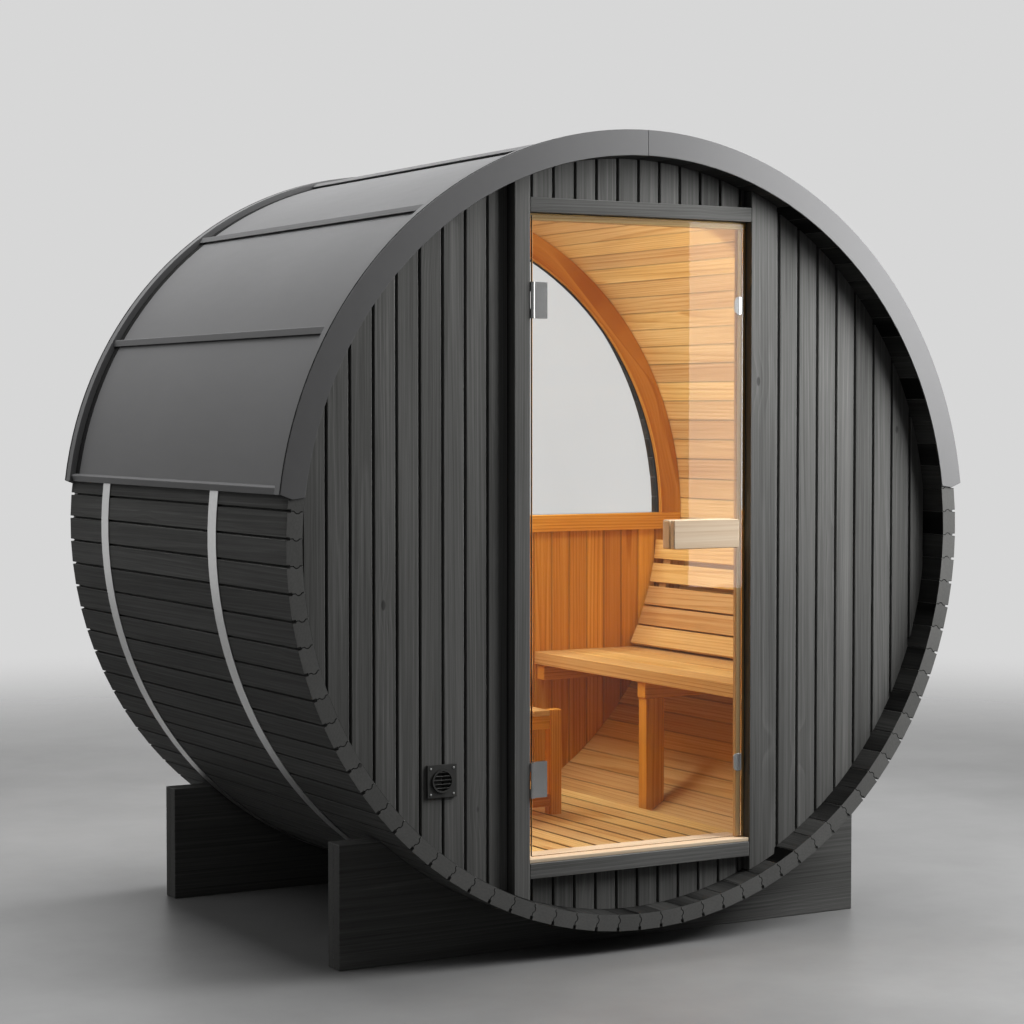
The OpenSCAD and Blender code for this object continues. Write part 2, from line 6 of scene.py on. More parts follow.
import bmesh
import bpy
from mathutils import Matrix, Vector


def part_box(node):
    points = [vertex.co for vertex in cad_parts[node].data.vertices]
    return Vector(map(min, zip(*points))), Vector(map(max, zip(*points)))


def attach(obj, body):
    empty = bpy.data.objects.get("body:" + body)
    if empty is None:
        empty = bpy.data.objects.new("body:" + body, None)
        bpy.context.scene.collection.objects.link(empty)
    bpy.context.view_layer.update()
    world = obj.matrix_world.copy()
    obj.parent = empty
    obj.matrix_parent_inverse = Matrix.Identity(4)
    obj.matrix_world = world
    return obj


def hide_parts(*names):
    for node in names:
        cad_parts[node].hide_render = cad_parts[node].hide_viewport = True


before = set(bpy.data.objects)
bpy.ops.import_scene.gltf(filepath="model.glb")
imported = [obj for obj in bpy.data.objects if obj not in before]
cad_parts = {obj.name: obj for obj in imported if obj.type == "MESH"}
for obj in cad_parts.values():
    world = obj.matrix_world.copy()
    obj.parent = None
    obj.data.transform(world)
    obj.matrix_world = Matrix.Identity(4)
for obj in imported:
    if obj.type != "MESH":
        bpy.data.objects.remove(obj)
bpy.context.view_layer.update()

# Gap between pieces that are let into each other
FIT_GAP = 0.0004

# Places that several pieces share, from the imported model
AXIS_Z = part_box("rear_rail")[1].z + FIT_GAP
WALL_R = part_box("rear_rail")[1].x
FRONT_OUT, FRONT_IN = (corner.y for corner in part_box("front_wall_left"))
REAR_IN, REAR_OUT = (corner.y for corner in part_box("rear_wall"))
TRIM_LOW, TRIM_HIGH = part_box("front_trim")
TRIM_R = TRIM_HIGH.z - AXIS_Z

# Width of the trims' faces, how far they rise over the roof sheets, and the sheets' radius
TRIM_FACE = 0.062
TRIM_RISE = 0.016
SHEET_R = TRIM_R - TRIM_RISE - FIT_GAP

# Upright boards of the end walls: their pitch, the place of one joint of the front wall, the
# groove of a joint outside, with its eased edges, and its vee inside
BOARD_PITCH = 0.0614
BOARD_JOINT = 0.0216
GROOVE_W = 0.0075
GROOVE_D = 0.013
GROOVE_EASE = 0.0012
VEE = 0.003

# Painted shade on faces in the joints and gaps: the wood is darkened there to stand for shade
JOINT_SHADE = -6.0

# Seed that picks the places in the tree where boards are cut
TREE = 78

# Degrees: faces that are flat together, edges that are eased, and edges that are shaded as sharp
FLAT_ANGLE = 0.4
EASE_ANGLE = 24.0
SHARP_ANGLE = 32.0


class Shader:
    """Builds the nodes of one material."""

    def __init__(self, name):
        self.material = bpy.data.materials.new(name)
        self.material.use_nodes = True
        self.tree = self.material.node_tree
        self.tree.nodes.clear()

    def add(self, kind, inputs=(), **settings):
        node = self.tree.nodes.new("ShaderNode" + kind)
        for key, value in settings.items():
            setattr(node, key, value)
        for key, value in dict(inputs).items():
            if isinstance(value, bpy.types.NodeSocket):
                self.tree.links.new(value, node.inputs[key])
            else:
                node.inputs[key].default_value = value
        return node

    def math(self, operation, *values):
        return self.add("Math", enumerate(values), operation=operation).outputs[0]

    def attribute(self, name, output):
        return self.add("Attribute", attribute_name=name).outputs[output]

    def position(self):
        return self.add("TexCoord").outputs["Object"]

    def noise(self, vector, stretch, detail=2.0, roughness=0.5):
        placed = self.add("Mapping", {"Vector": vector, "Scale": stretch}).outputs[0]
        inputs = {"Vector": placed, "Scale": 1.0, "Detail": detail, "Roughness": roughness}
        return self.add("TexNoise", inputs).outputs["Fac"]

    def ramp(self, value, stops):
        node = self.add("ValToRGB", {"Fac": value})
        points = node.color_ramp.elements
        while len(points) < len(stops):
            points.new(1.0)
        for point, (place, colour) in zip(points, stops):
            point.position = place
            point.color = grey(colour) if isinstance(colour, float) else (*colour, 1.0)
        return node.outputs["Color"]

    def spread(self, value, low, high):
        return self.add("MapRange", {"Value": value, "To Min": low, "To Max": high}).outputs[0]

    def fade(self, value, edge, core):
        inputs = {"Value": value, "From Min": edge, "From Max": core}
        return self.add("MapRange", inputs, interpolation_type="SMOOTHSTEP").outputs[0]

    def bump(self, height, depth, strength):
        inputs = {"Height": height, "Distance": depth, "Strength": strength}
        return self.add("Bump", inputs).outputs[0]

    def tint(self, colour, value, hue=0.5):
        inputs = {"Color": colour, "Hue": hue, "Value": value}
        return self.add("HueSaturation", inputs).outputs[0]

    def finish(self, **inputs):
        named = {key.replace("_", " "): value for key, value in inputs.items()}
        surface = self.add("BsdfPrincipled", named)
        self.output(surface.outputs[0])
        return self.material

    def output(self, surface):
        self.add("OutputMaterial", {"Surface": surface})


def grey(value):
    return (value, value, value, 1.0)


def wood(name, colours, rings, knots, tone_range, hue_range, roughness, gloss, depth, wear_and_shade):
    """Planed wood. Each board has its own place in the tree, in the attribute grain, whose Y
    runs along the fibres round the heart of the tree, and its own tone. Rings are the pitch
    and the strength of the yearly rings, knots is how dark the knots are, and wear_and_shade
    is how much paler the eased edges are with wear, and how much darker the joints are with
    painted shade. The scales of the noises are those across, along and through a board."""
    pitch, strength = rings
    shader = Shader(name)
    grain = shader.attribute("grain", "Vector")
    tone = shader.attribute("tone", "Fac")
    placed = shader.add("Mapping", {"Vector": grain, "Scale": (7.0, 3.2, 7.0)}).outputs[0]
    near_knot = shader.add("TexVoronoi", {"Vector": placed, "Scale": 1.0}).outputs["Distance"]
    knot = shader.fade(near_knot, 0.05, 0.03)
    swirl = shader.fade(near_knot, 0.3, 0.03)
    wander = shader.noise(grain, (4.0, 0.7, 4.0), 1.0)
    ripple = shader.noise(grain, (60.0, 3.0, 60.0), 2.0)
    axes = shader.add("SeparateXYZ", {"Vector": grain}).outputs
    across = shader.math("MULTIPLY", axes[0], axes[0])
    through = shader.math("MULTIPLY", axes[2], axes[2])
    from_heart = shader.math("SQRT", shader.math("ADD", across, through))
    bent = shader.math("MULTIPLY_ADD", wander, 0.02, from_heart)
    bent = shader.math("MULTIPLY_ADD", ripple, 0.0012, bent)
    bent = shader.math("MULTIPLY_ADD", swirl, 0.012 * knots, bent)
    ring = shader.math("FRACT", shader.math("DIVIDE", bent, pitch))
    late = shader.ramp(ring, [(0.0, 0.05), (0.6, 0.35), (0.9, 1.0), (1.0, 0.05)])
    streak = shader.noise(grain, (170.0, 0.9, 170.0), 4.0, 0.62)
    fibre = shader.noise(grain, (800.0, 9.0, 800.0), 2.0)
    patch = shader.noise(grain, (9.0, 1.1, 9.0), 2.0)
    figure = shader.math("MULTIPLY_ADD", late, strength, shader.math("MULTIPLY", streak, 0.55))
    figure = shader.math("MULTIPLY_ADD", fibre, 0.26, figure)
    figure = shader.math("MULTIPLY_ADD", patch, 0.3, figure)
    cut = shader.math("MULTIPLY", shader.attribute("end_cut", "Fac"), 0.65)
    figure = shader.add("Mix", {0: cut, 2: figure, 3: 0.6}).outputs[0]
    colour = shader.ramp(shader.math("MULTIPLY", figure, 0.75), colours)
    # Wear pales the eased edges; painted shade darkens the joints, gaps and recesses
    rubbed_and_shaded = shader.math("MULTIPLY", shader.attribute("wear_and_shade", "Fac"), shader.spread(patch, 0.3, 1.7))
    shade = shader.math("MULTIPLY_ADD", rubbed_and_shaded, wear_and_shade, shader.spread(tone, *tone_range))
    shade = shader.math("MULTIPLY", shade, shader.spread(knot, 1.0, 1.0 - knots))
    colour = shader.tint(colour, shade, shader.spread(tone, *hue_range))
    return shader.finish(
        Base_Color=colour,
        Roughness=shader.spread(figure, *roughness),
        Specular_IOR_Level=gloss,
        Normal=shader.bump(figure, depth, 0.7))


def painted_metal(name, colour, roughness):
    """Coil-coated steel sheet with a fine texture and a little dust."""
    shader = Shader(name)
    place = shader.position()
    cloud = shader.noise(place, (3.0, 3.0, 3.0), 4.0)
    speck = shader.noise(place, (900.0, 900.0, 900.0), 2.0)
    dust = shader.noise(place, (26.0, 7.0, 26.0), 5.0, 0.7)
    shade = shader.math("MULTIPLY_ADD", cloud, 0.16, shader.math("MULTIPLY", dust, 0.12))
    colour = shader.tint((*colour, 1.0), shader.math("ADD", shade, 0.86))
    return shader.finish(
        Base_Color=colour,
        Metallic=0.1,
        Specular_IOR_Level=0.5,
        Roughness=shader.math("MULTIPLY_ADD", dust, 0.14, roughness),
        Normal=shader.bump(speck, 0.00012, 0.35))


def brushed_metal(name, colour, roughness, stretch):
    """Bare metal with fine brush lines."""
    shader = Shader(name)
    lines = shader.noise(shader.position(), stretch, 3.0, 0.7)
    colour = shader.tint((*colour, 1.0), shader.spread(lines, 0.86, 1.12))
    return shader.finish(
        Base_Color=colour,
        Metallic=1.0,
        Roughness=shader.math("MULTIPLY_ADD", lines, 0.16, roughness),
        Normal=shader.bump(lines, 0.00008, 0.3))


def moulded(name, colour, roughness):
    """Matt moulded plastic or rubber with a fine texture."""
    shader = Shader(name)
    place = shader.position()
    pebble = shader.noise(place, (1400.0, 1400.0, 1400.0), 2.0)
    cloud = shader.noise(place, (30.0, 30.0, 30.0), 3.0)
    colour = shader.tint((*colour, 1.0), shader.spread(cloud, 0.8, 1.2))
    return shader.finish(
        Base_Color=colour,
        Roughness=shader.math("MULTIPLY_ADD", cloud, 0.12, roughness),
        Specular_IOR_Level=0.2,
        Normal=shader.bump(pebble, 0.0002, 0.4))


def clear_glass(name, ior):
    """Clear glass with faint wipe marks, which lets the lamps' light through."""
    shader = Shader(name)
    smear = shader.noise(shader.position(), (5.0, 5.0, 2.0), 4.0)
    glass = shader.add("BsdfPrincipled", {
        "Base Color": shader.ramp(smear, [(0.3, (0.97, 0.975, 0.97)), (0.7, (0.99, 0.995, 0.99))]),
        "Roughness": 0.0,
        "IOR": ior,
        "Transmission Weight": 1.0,
    })
    clear = shader.add("BsdfTransparent", {"Color": (0.96, 0.97, 0.96, 1.0)})
    path = shader.add("LightPath")
    through = shader.math(
        "MAXIMUM", path.outputs["Is Shadow Ray"], path.outputs["Is Diffuse Ray"])
    mix = shader.add("MixShader", {0: through, 1: glass.outputs[0], 2: clear.outputs[0]})
    shader.output(mix.outputs[0])
    return shader.material


# Finishes
CHARCOAL = wood(
    "charcoal_wood",
    [(0.34, (0.100, 0.100, 0.096)), (0.48, (0.155, 0.155, 0.150)), (0.62, (0.230, 0.230, 0.223))],
    rings=(0.0075, 0.1), knots=0.5, tone_range=(0.86, 1.14), hue_range=(0.5, 0.5),
    roughness=(0.8, 0.6), gloss=0.12, depth=0.0008, wear_and_shade=0.4)
CEDAR = wood(
    "cedar",
    [(0.34, (0.80, 0.565, 0.25)), (0.48, (0.70, 0.44, 0.152)), (0.64, (0.52, 0.25, 0.058))],
    rings=(0.0075, 0.2), knots=0.0, tone_range=(1.14, 0.84), hue_range=(0.508, 0.492),
    roughness=(0.5, 0.65), gloss=0.3, depth=0.0004, wear_and_shade=0.08)
RED_CEDAR = wood(
    "red_cedar",
    [(0.34, (0.82, 0.44, 0.085)), (0.48, (0.72, 0.33, 0.043)), (0.64, (0.53, 0.19, 0.015))],
    rings=(0.0075, 0.24), knots=0.0, tone_range=(1.2, 0.78), hue_range=(0.508, 0.494),
    roughness=(0.55, 0.7), gloss=0.12, depth=0.0004, wear_and_shade=0.08)
PALE = wood(
    "pale_wood",
    [(0.34, (0.84, 0.68, 0.50)), (0.48, (0.78, 0.60, 0.42)), (0.64, (0.66, 0.47, 0.29))],
    rings=(0.006, 0.18), knots=0.0, tone_range=(1.05, 0.94), hue_range=(0.502, 0.498),
    roughness=(0.5, 0.62), gloss=0.3, depth=0.0004, wear_and_shade=0.08)
ROOF = painted_metal("roof_metal", (0.126, 0.126, 0.128), 0.42)
STEEL = brushed_metal("band_steel", (0.60, 0.60, 0.595), 0.3, (900.0, 60.0, 60.0))
HINGE = brushed_metal("hinge_steel", (0.56, 0.56, 0.555), 0.16, (60.0, 60.0, 900.0))
CHROME = brushed_metal("chrome", (0.52, 0.52, 0.52), 0.06, (300.0, 300.0, 300.0))
VENT = moulded("vent_plastic", (0.055, 0.055, 0.053), 0.5)
GASKET = moulded("gasket", (0.03, 0.03, 0.03), 0.6)
# Near-black material for the strips of painted shade and shadow along the roof's trims
SHADE_STRIP = moulded("painted_shade_strip", (0.012, 0.012, 0.012), 0.75)
GLASS = clear_glass("glass", 1.36)


def copy_of(node):
    """A node's solids, with each flat face whole again."""
    weld = 1e-6
    bm = bmesh.new()
    bm.from_mesh(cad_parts[node].data)
    bmesh.ops.remove_doubles(bm, verts=bm.verts, dist=weld)
    bmesh.ops.dissolve_limit(
        bm, angle_limit=math.radians(FLAT_ANGLE), verts=bm.verts, edges=bm.edges, delimit={"NORMAL"})
    return bm


def ease(bm, width, segments=2, only=None):
    """Rounds the sharp edges, or those that only picks, and marks the round faces as worn."""
    wear_and_shade = bm.faces.layers.float.get("wear_and_shade") or bm.faces.layers.float.new("wear_and_shade")
    sharp = [
        edge for edge in bm.edges
        if len(edge.link_faces) == 2 and edge.calc_face_angle() > math.radians(EASE_ANGLE)
        and (only is None or only(edge))]
    rounded = bmesh.ops.bevel(
        bm, geom=sharp, offset=width, offset_type="OFFSET", segments=segments, profile=0.5,
        affect="EDGES", clamp_overlap=True)
    for face in rounded["faces"]:
        face[wear_and_shade] = 1.0


def cut(bm, axis, place):
    """Divides the faces that cross a plane square to an axis."""
    normal = Vector((0.0, 0.0, 0.0))
    normal[axis] = 1.0
    everything = [*bm.verts, *bm.edges, *bm.faces]
    bmesh.ops.bisect_plane(bm, geom=everything, plane_co=normal * place, plane_no=normal)


def solids(bm):
    """The mesh's separate solids, as lists of points."""
    left = set(bm.verts)
    found = []
    for first in bm.verts:
        if first not in left:
            continue
        left.discard(first)
        reached = [first]
        for point in reached:
            for edge in point.link_edges:
                other = edge.other_vert(point)
                if other in left:
                    left.discard(other)
                    reached.append(other)
        found.append(reached)
    return found


def flat_run(points):
    """A function from a place to (across, along, through) a board, by the board's longest side."""
    low = Vector(min(p.co[i] for p in points) for i in range(3))
    high = Vector(max(p.co[i] for p in points) for i in range(3))
    order = sorted(range(3), key=lambda i: high[i] - low[i])
    middle = (low + high) / 2
    return lambda co: Vector(
        (co[order[1]] - middle[order[1]], co[order[2]] - low[order[2]], co[order[0]] - middle[order[0]]))


def upright_run(points):
    """The same for an upright board of an end wall."""
    middle_x = sum(p.co.x for p in points) / len(points)
    middle_y = sum(p.co.y for p in points) / len(points)
    return lambda co: Vector((co.x - middle_x, co.z, co.y - middle_y))


def bent_run(points):
    """The same for a board bent round the barrel's axis."""
    def run(co):
        reach = math.hypot(co.x, co.z - AXIS_Z)
        return Vector((reach - WALL_R, reach * math.atan2(co.z - AXIS_Z, co.x), co.y))
    return run


def add_grain(bm, seed, run_of=flat_run):
    """Gives each board its own piece of the tree and its own tone, and finds its cut ends."""
    probe = 0.001
    pick = random.Random(seed)
    grain = bm.verts.layers.float_vector.new("grain")
    tone = bm.verts.layers.float.new("tone")
    end_cut = bm.faces.layers.float.new("end_cut")
    bm.normal_update()
    for points in solids(bm):
        run = run_of(points)
        heart = Vector((pick.uniform(-0.06, 0.06), pick.uniform(0, 60), pick.uniform(0.05, 0.14)))
        lean = Vector((pick.uniform(-0.012, 0.012), 0, pick.uniform(-0.012, 0.012)))
        shade = pick.random()
        for point in points:
            place = run(point.co)
            point[grain] = place + heart + lean * place.y
            point[tone] = shade
        for face in {face for point in points for face in point.link_faces}:
            middle = face.calc_center_median()
            step = run(middle + face.normal * probe) - run(middle)
            face[end_cut] = float(abs(step.y) > 0.9 * probe)


def piece(name, bm, materials, nodes=(), body="building"):
    """Makes an object of a mesh, which rides on a body and stands for the nodes."""
    mesh = bpy.data.meshes.new(name)
    bm.normal_update()
    bm.to_mesh(mesh)
    bm.free()
    for polygon in mesh.polygons:
        polygon.use_smooth = True
    mesh.set_sharp_from_angle(angle=math.radians(SHARP_ANGLE))
    for material in materials:
        mesh.materials.append(material)
    made = bpy.data.objects.new(name, mesh)
    bpy.context.scene.collection.objects.link(made)
    weighted = made.modifiers.new("even_shading", "WEIGHTED_NORMAL")
    weighted.keep_sharp = True
    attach(made, body)
    if nodes:
        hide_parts(*nodes)


def boards(node, material, width=0.0015, body="building", run_of=flat_run, shaded_gaps=False):
    """A wooden node with eased edges and a run of grain in each of its boards. With
    shaded_gaps, the boards' upright sides get painted shade, for the dark gaps between them."""
    bm = copy_of(node)
    ease(bm, width)
    add_grain(bm, f"{node} {TREE}", run_of)
    if shaded_gaps:
        wear_and_shade = bm.faces.layers.float.get("wear_and_shade")
        side_limit = 0.6
        for face in bm.faces:
            # Painted shade on the upright sides, standing for the shade in the gaps
            if abs(face.normal.z) < side_limit:
                face[wear_and_shade] = JOINT_SHADE
    piece(node + "_wood", bm, [material], [node], body)


def fitting(node, material, width, body="building", segments=2):
    """A node of metal, rubber, plastic or glass with its edges rounded."""
    bm = copy_of(node)
    ease(bm, width, segments)
    piece(node + "_finish", bm, [material], [node], body)


def staves(node):
    """Staves that are stained outside and on their ends, and bare inside between the end walls.
    Painted shade darkens their joints, inside and on their ends, and their faces in the lee of the
    overhangs."""
    bm = copy_of(node)
    ends = [corner.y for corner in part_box(node)]
    bare_from = (FRONT_OUT + FRONT_IN) / 2
    bare_to = (REAR_IN + REAR_OUT) / 2
    for y in (bare_from, bare_to):
        cut(bm, 1, y)
    ease(bm, 0.0012)
    add_grain(bm, node)
    end_band = 0.0013
    # Depths outwards from the rim of the end walls
    skin, eased_skin, bare_depth = 0.001, 0.0014, 0.022
    joint_from, joint_to = 0.003, 0.039
    wear_and_shade = bm.faces.layers.float.get("wear_and_shade")
    for face in bm.faces:
        middle = face.calc_center_median()
        depth = math.hypot(middle.x, middle.z - AXIS_Z) - WALL_R
        at_end = min(abs(middle.y - end) for end in ends) < end_band
        if bare_from < middle.y < bare_to and depth < bare_depth:
            face.material_index = 1
            # Painted shade on the eased edges and sides of the joints inside
            if face[wear_and_shade] or depth > skin:
                face[wear_and_shade] = JOINT_SHADE / 2
        # Painted shade in the bead and cove joints on the stave ends
        elif at_end and face[wear_and_shade] and joint_from < depth < joint_to:
            face[wear_and_shade] = JOINT_SHADE / 3
        # Painted shade on the inner faces of the overhangs, where they lie in shadow
        elif depth < eased_skin:
            face[wear_and_shade] = JOINT_SHADE / 3
    piece(node + "_wood", bm, [CHARCOAL, CEDAR], [node])


def stool():
    """The stool's legs and rails, cut apart so that each has its own run of grain."""
    bm = copy_of("stool_frame")
    low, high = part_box("stool_frame")
    leg = 0.0335
    for axis in (0, 1):
        for place in (low[axis] + leg, high[axis] - leg):
            cut(bm, axis, place)
    ease(bm, 0.002)
    legs = []
    for face in bm.faces:
        middle = face.calc_center_median()
        reach = [min(middle[i] - low[i], high[i] - middle[i]) for i in (0, 1)]
        if max(reach) < leg:
            legs.append(face)
    bmesh.ops.split(bm, geom=legs)
    add_grain(bm, "stool")
    piece("stool_frame_wood", bm, [RED_CEDAR], ["stool_frame"])


def rail():
    """The rail under the window, bare inside the pane and stained outside it."""
    bm = copy_of("rear_rail")
    pane_y = (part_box("window_glass")[0].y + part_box("window_glass")[1].y) / 2
    cut(bm, 1, pane_y)
    ease(bm, 0.0022)
    add_grain(bm, f"rear_rail {TREE}")
    for face in bm.faces:
        face.material_index = int(face.calc_center_median().y > pane_y)
    piece("rear_rail_wood", bm, [RED_CEDAR, CHARCOAL], ["rear_rail"])


def arc_z(x):
    """Height of the end walls' edge above the axis."""
    return math.sqrt(max(WALL_R * WALL_R - x * x, 0.0))


def board_outline(left, right, outside, inside):
    """An upright board seen from above: a groove beside it outside and a fine vee inside."""
    inwards = 1 if inside > outside else -1
    edge = outside + inwards * GROOVE_EASE
    floor = outside + inwards * GROOVE_D
    vee = inside - inwards * VEE
    half = GROOVE_W / 2
    from_left = [
        (left, floor), (left + half, floor), (left + half, edge), (left + half + GROOVE_EASE, outside)]
    to_right = [
        (right - half - GROOVE_EASE, outside), (right - half, edge), (right - half, floor), (right, floor)]
    back = [(right, vee), (right - VEE, inside), (left + VEE, inside), (left, vee)]
    return from_left + to_right + back


def fine_steps(outline, step):
    """An outline with points added so that none are further apart than a step."""
    out = []
    for (x0, y0), (x1, y1) in zip(outline, outline[1:] + outline[:1]):
        count = max(1, math.ceil(math.hypot(x1 - x0, y1 - y0) / step))
        out += [(x0 + (x1 - x0) * i / count, y0 + (y1 - y0) * i / count) for i in range(count)]
    return out


def upright(bm, outline, low_of, high_of):
    """Adds a board with an outline seen from above, between heights that depend on x."""
    rings = [
        [bm.verts.new((x, y, AXIS_Z + height(x))) for x, y in outline] for height in (low_of, high_of)]
    count = len(outline)
    for i in range(count):
        j = (i + 1) % count
        bm.faces.new((rings[0][i], rings[0][j], rings[1][j], rings[1][i]))
    bm.faces.new(rings[0])
    bm.faces.new(rings[1])


def board_wall(node, edges, outside, inside, low_of, high_of):
    """An end wall of upright boards between the given edges, stained outside and bare inside.
    Boards near the rim, whose ends are steep, have finer steps."""
    near_rim, coarse, fine = 0.8, 0.016, 0.004
    bare_depth = 0.004
    side_limit = 0.9
    bm = bmesh.new()
    for left, right in zip(edges, edges[1:]):
        step = coarse if max(abs(left), abs(right)) < near_rim else fine
        outline = fine_steps(board_outline(left, right, outside, inside), step)
        upright(bm, outline, low_of, high_of)
    bmesh.ops.recalc_face_normals(bm, faces=bm.faces)
    add_grain(bm, node, upright_run)
    wear_and_shade = bm.faces.layers.float.new("wear_and_shade")
    for face in bm.faces:
        middle = face.calc_center_median()
        bare = abs(middle.y - inside) < bare_depth
        face.material_index = int(bare)
        face[wear_and_shade] = float(0.0 < abs(middle.y - outside) < GROOVE_EASE)
        # Painted shade on the sides of the vees inside
        if bare and abs(face.normal.y) < side_limit:
            face[wear_and_shade] = JOINT_SHADE / 2
    piece(node + "_boards", bm, [CHARCOAL, RED_CEDAR], [node])


def edges_between(start, end, joint):
    """A stretch's ends and the board joints between them, one of which is given."""
    narrowest = 0.004
    first = math.ceil((start + narrowest - joint) / BOARD_PITCH)
    last = math.floor((end - narrowest - joint) / BOARD_PITCH)
    return [start, *(joint + BOARD_PITCH * i for i in range(first, last + 1)), end]


def front_wall():
    """Boards beside, over and under the door, which end just short of the rim."""
    short = 0.0008
    rim = WALL_R - short
    header_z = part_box("door_header")[1].z + FIT_GAP - AXIS_Z
    sill_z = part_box("door_sill")[0].z - FIT_GAP - AXIS_Z
    low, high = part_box("front_wall_over_door")
    parts = {
        "front_wall_left": (-rim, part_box("front_wall_left")[1].x, lambda x: -arc_z(x), arc_z),
        "front_wall_right": (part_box("front_wall_right")[0].x, rim, lambda x: -arc_z(x), arc_z),
        "front_wall_over_door": (low.x, high.x, lambda x: header_z, arc_z),
        "front_wall_under_door": (low.x, high.x, lambda x: -arc_z(x), lambda x: sill_z),
    }
    for node, (start, end, low_of, high_of) in parts.items():
        edges = edges_between(start, end, BOARD_JOINT)
        board_wall(node, edges, FRONT_OUT, FRONT_IN, low_of, high_of)


def rear_wall():
    """Boards below the rail, with a joint in the middle."""
    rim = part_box("rear_wall")[1].x
    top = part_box("rear_rail")[0].z - FIT_GAP - AXIS_Z
    edges = edges_between(-rim, rim, 0.0)
    board_wall("rear_wall", edges, REAR_OUT, REAR_IN, lambda x: -arc_z(x), lambda x: top)


def disc_rings(bm, centre, rings, lobed):
    """Adds a round of (radius, height towards the front) rings, closed at its middle. The rings
    from the one numbered lobed onwards are drawn as a six-lobed socket."""
    steps = 18
    lobe = 0.16
    rows = []
    for index, (radius, height) in enumerate(rings):
        row = []
        for i in range(steps):
            turn = 2 * math.pi * i / steps
            r = radius * (1 + lobe * math.cos(6 * turn)) if index >= lobed else radius
            row.append(bm.verts.new(centre + Vector((r * math.cos(turn), -height, r * math.sin(turn)))))
        rows.append(row)
    for inner, outer in zip(rows[1:], rows):
        for i in range(steps):
            j = (i + 1) % steps
            bm.faces.new((outer[i], outer[j], inner[j], inner[i]))
    bm.faces.new(rows[-1])


def screw(bm, centre, radius):
    """Adds a domed screw head with a socket, facing the front."""
    sink = 0.0005
    dome = [(1.0, 0.25), (0.93, 0.4), (0.75, 0.52), (0.52, 0.58), (0.44, 0.57), (0.4, 0.2)]
    rings = [(radius, -sink)] + [(radius * across, radius * height) for across, height in dome]
    disc_rings(bm, centre, rings, lobed=5)


def vent():
    """The vent's plate and grille, with a screw in each corner of the plate."""
    fitting("vent_plate", VENT, 0.0012, segments=3)
    fitting("vent_grille", VENT, 0.0005)
    low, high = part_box("vent_plate")
    inset = 0.0085
    head_r = 0.0026
    bm = bmesh.new()
    for x in (low.x + inset, high.x - inset):
        for z in (low.z + inset, high.z - inset):
            screw(bm, Vector((x, low.y, z)), head_r)
    bmesh.ops.recalc_face_normals(bm, faces=bm.faces)
    piece("vent_screws", bm, [STEEL])


def woodwork():
    """Every wooden piece, stained, bare or pale."""
    for node in ("staves_top", "staves_left", "staves_bottom", "staves_right"):
        staves(node)
    front_wall()
    rear_wall()
    for node in (
            "front_cradle", "rear_cradle",
            "door_post_left", "door_post_right", "door_header", "door_sill"):
        boards(node, CHARCOAL, 0.002)
    boards("door_threshold", PALE)
    for node in ("handle_outer", "handle_inner"):
        boards(node, PALE, 0.003, body="door")
    for node in (
            "door_stops", "floor_joists",
            "bench_seat", "backrest_slats", "backrest_battens", "stool_slats"):
        boards(node, CEDAR, 0.0022)
    # The floor slats' sides carry painted shade for the gaps between them
    boards("floor_slats", CEDAR, 0.0022, shaded_gaps=True)
    for node in ("bench_bearers", "bench_leg"):
        boards(node, RED_CEDAR, 0.0022)
    rail()
    stool()
    boards("window_arch_inner", RED_CEDAR, 0.002, run_of=bent_run)
    boards("window_arch_outer", CHARCOAL, 0.002, run_of=bent_run)


def shade_strip(name, radius, height, span):
    """A black strip of painted shade over the roof between two depths, down to the trims' ends."""
    steps = 128
    short_angle = 0.009
    end = math.asin((TRIM_LOW.z - AXIS_Z) / (TRIM_R - TRIM_FACE / 2)) + short_angle
    near, far = span
    corners = [(radius, near), (radius + height, near), (radius + height, far), (radius, far)]
    bm = bmesh.new()
    rows = []
    for i in range(steps + 1):
        turn = end + (math.pi - 2 * end) * i / steps
        rows.append([
            bm.verts.new((r * math.cos(turn), y, AXIS_Z + r * math.sin(turn))) for r, y in corners])
    for here, there in zip(rows, rows[1:]):
        for i in range(4):
            bm.faces.new((here[i], here[i - 1], there[i - 1], there[i]))
    bm.faces.new(rows[0])
    bm.faces.new(rows[-1])
    bmesh.ops.recalc_face_normals(bm, faces=bm.faces)
    piece(name, bm, [SHADE_STRIP])


def shade_strips():
    """A thin black line of painted shade along each trim, and a broad black strip of painted shadow in
    front of the rear one.
    """
    line_r, line_t = TRIM_R - 0.0004, 0.001
    line_near, line_far = 0.003, 0.008
    strip_r, strip_t = SHEET_R - 0.0005, 0.0015
    strip_near, strip_far = 0.0003, 0.028
    rear_low, rear_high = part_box("rear_trim")
    shade_strip("front_trim_shade_line", line_r, line_t, (TRIM_LOW.y + line_near, TRIM_LOW.y + line_far))
    shade_strip("rear_trim_shade_line", line_r, line_t, (rear_high.y - line_far, rear_high.y - line_near))
    shade_strip("roof_shade_strip", strip_r, strip_t, (rear_low.y - strip_far, rear_low.y - strip_near))


def roofing():
    """Sheets with rounded creases on their hems, capped by the trims, with black strips of painted shade
    along them.
    """
    hem_middle = 0.008
    crease_r = SHEET_R + hem_middle

    def on_crease(edge):
        return all(math.hypot(p.co.x, p.co.z - AXIS_Z) > crease_r for p in edge.verts)

    for node in ("roof_left", "roof_crown", "roof_right"):
        bm = copy_of(node)
        ease(bm, 0.0025, 3, only=on_crease)
        ease(bm, 0.0004)
        piece(node + "_finish", bm, [ROOF], [node])
    for node in ("front_trim", "rear_trim"):
        fitting(node, ROOF, 0.0007)
    shade_strips()


